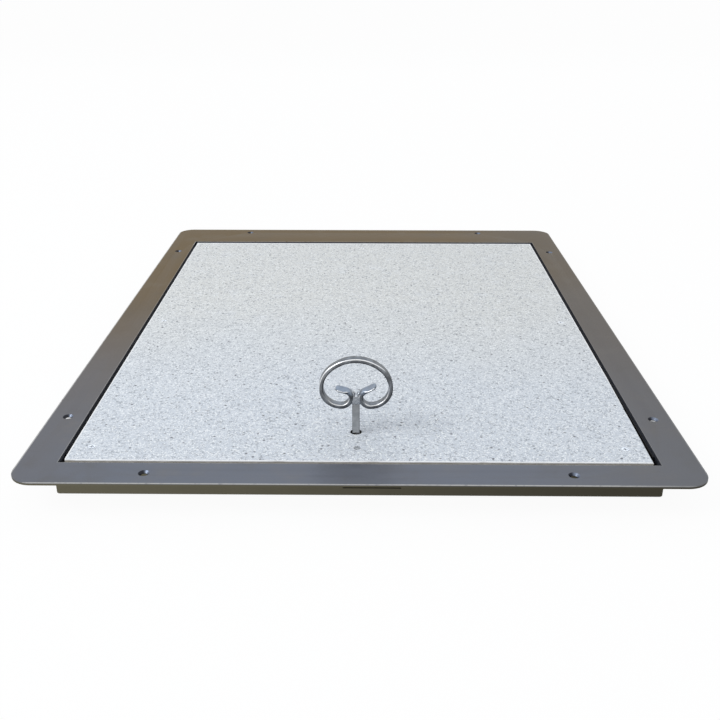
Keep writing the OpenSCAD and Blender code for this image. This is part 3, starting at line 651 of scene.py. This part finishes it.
def lumpy_weld():
    """The beads: the solids remeshed, swollen a little and rippled, with the fill on the shaft's end."""
    solid = clean_copy("key_weld")
    for v in solid.verts:
        v.co.z = min(v.co.z, SHAFT_TOP - 0.0004)
    for side, rise_up, big in ((-1, 0.0016, 1.0), (1, 0.0014, 0.94)):
        bmesh.ops.create_icosphere(solid, subdivisions=3, radius=1.0, matrix=Matrix.Translation(
            (KEY_X + side * 0.0029, KEY_Y + 0.0025, SHAFT_TOP + rise_up))
            @ Matrix.Rotation(side * radians(-32), 4, "Y")
            @ Matrix.Diagonal((0.0028 * big, 0.0028 * big, 0.0018 * big, 1)))
    mesh = as_mesh(solid, "key_beads")
    piece = bpy.data.objects.new("raw_beads", mesh)
    bpy.context.scene.collection.objects.link(piece)
    remesh = piece.modifiers.new("even", "REMESH")
    remesh.mode = "VOXEL"
    remesh.voxel_size = 0.00032
    soft = piece.modifiers.new("soft", "SMOOTH")
    soft.factor = 0.6
    soft.iterations = 6
    shaped = bpy.data.meshes.new_from_object(piece.evaluated_get(bpy.context.evaluated_depsgraph_get()))
    bpy.data.objects.remove(piece)
    lumps = bmesh.new()
    lumps.from_mesh(shaped)
    for v in lumps.verts:
        ripple = sin(v.co.z * 5200 + 2.5 * noise.noise(v.co * 300)) * 0.00006
        lump = noise.noise(v.co * 420) * 0.0002 + noise.noise(v.co * 1100) * 0.00008
        v.co += v.normal * (0.0002 + ripple + lump)
    lumps.to_mesh(shaped)
    lumps.free()
    shaped.name = "key_beads"
    return new_piece("key_beads", shaped, "key_weld", 60)


painted_frame()
mineral_slab()
screws = clean_copy("board_screws")
for v in screws.verts:
    if v.co.x > 0.2 and v.co.y < -0.3:
        v.co.x -= SCREW_SHIFT
eased(screws, "board_screws", "leaf_screws", 0.00012)
key_bar()
bent_strip()
lumpy_weld()

for node, slot in slot_of_node.items():
    solid = bpy.data.objects[node]
    for place in solid.material_slots:
        place.material = finishes[slot]


# ---------------------------------------------------------------- floor, world, light, camera
def pale_floor():
    s = Surface("pale floor")
    paths = s.node("ShaderNodeLightPath").out.node
    seen = Socket(s, paths.outputs["Is Camera Ray"])
    for name in ("Is Glossy Ray", "Is Transmission Ray"):
        seen = seen.most(Socket(s, paths.outputs[name]))
    matt = s.node("ShaderNodeBsdfDiffuse", values={"Color": (0.95, 0.95, 0.95)})
    white = s.node("ShaderNodeEmission", values={"Color": (1.0, 1.0, 1.0), "Strength": 1.0})
    # Right under the plate, where only the screw holes let one see it, the floor stays in shade
    x, y, z = s.axes(s.place())
    under = x.size().rise(FRAME_X + 0.014, FRAME_X + 0.003) * (y - OPEN_FRONT).rise(0.015, 0.08)
    under = under * y.rise(FRAME_Y, FRAME_Y - 0.03) * x.size().rise(COLLAR_X, COLLAR_X + 0.002)
    mixed = s.node("ShaderNodeMixShader", values={0: seen * (1.0 - under) * 0.95, 1: matt, 2: white})
    s.node("ShaderNodeOutputMaterial", values={"Surface": mixed})
    floor = bmesh.new()
    bmesh.ops.create_grid(floor, x_segments=8, y_segments=8, size=15.0)
    piece = bpy.data.objects.new("floor", as_mesh(floor, "floor"))
    bpy.context.scene.collection.objects.link(piece)
    piece.data.materials.append(s.owner)


def soft_world():
    world = bpy.data.worlds.new("studio")
    bpy.context.scene.world = world
    s = Surface("studio", world)
    x, y, z = s.axes(s.node("ShaderNodeTexCoord", out="Generated"))
    paths = s.node("ShaderNodeLightPath").out.node
    seen = Socket(s, paths.outputs["Is Camera Ray"])
    for name in ("Is Glossy Ray", "Is Transmission Ray"):
        seen = seen.most(Socket(s, paths.outputs[name]))
    sky = s.mix(z.rise(0.0, 0.7), (0.64, 0.63, 0.615), (0.685, 0.705, 0.735))
    light = s.node("ShaderNodeBackground", values={"Color": sky, "Strength": 1.0})
    white = s.node("ShaderNodeBackground", values={"Color": (1.0, 1.0, 1.0), "Strength": 1.0})
    mixed = s.node("ShaderNodeMixShader", values={0: seen, 1: light, 2: white})
    s.node("ShaderNodeOutputWorld", values={"Surface": mixed})


def panel(name, where, aim, width, height, colour, watts):
    lamp = bpy.data.lights.new(name, "AREA")
    lamp.shape = "RECTANGLE"
    lamp.size, lamp.size_y = width, height
    lamp.color = colour
    lamp.energy = watts
    piece = bpy.data.objects.new(name, lamp)
    piece.location = where
    piece.rotation_euler = (Vector(aim) - Vector(where)).to_track_quat("-Z", "Y").to_euler()
    bpy.context.scene.collection.objects.link(piece)


def photo_camera():
    data = bpy.data.cameras.new("photo view")
    data.lens = 45.488
    data.sensor_width = 36.0
    data.clip_start = 0.01
    data.clip_end = 100.0
    piece = bpy.data.objects.new("photo view", data)
    right = (0.999951804, 0.00979841668, 0.000616754856)
    up = (-0.00447546451, 0.399016092, 0.916933001)
    back = (0.0087383965, -0.916891569, 0.399040714)
    piece.matrix_world = Matrix((
        (right[0], up[0], back[0], 0.007601),
        (right[1], up[1], back[1], -1.060195),
        (right[2], up[2], back[2], 0.433911),
        (0, 0, 0, 1)))
    bpy.context.scene.collection.objects.link(piece)
    bpy.context.scene.camera = piece


pale_floor()
soft_world()
panel("left window", (-2.3, -1.0, 2.2), (0, 0, 0), 1.8, 1.4, (0.96, 0.98, 1.0), 42)
panel("cool panel", (0.0, 3.2, 2.3), (0, -0.2, 0.1), 5.0, 1.9, (0.62, 0.78, 1.0), 16)
panel("warm panel", (0.0, 3.2, 0.75), (0, 0.3, 0.1), 5.0, 0.9, (1.0, 0.86, 0.66), 3)
photo_camera()
bpy.context.scene.view_settings.view_transform = "Standard"
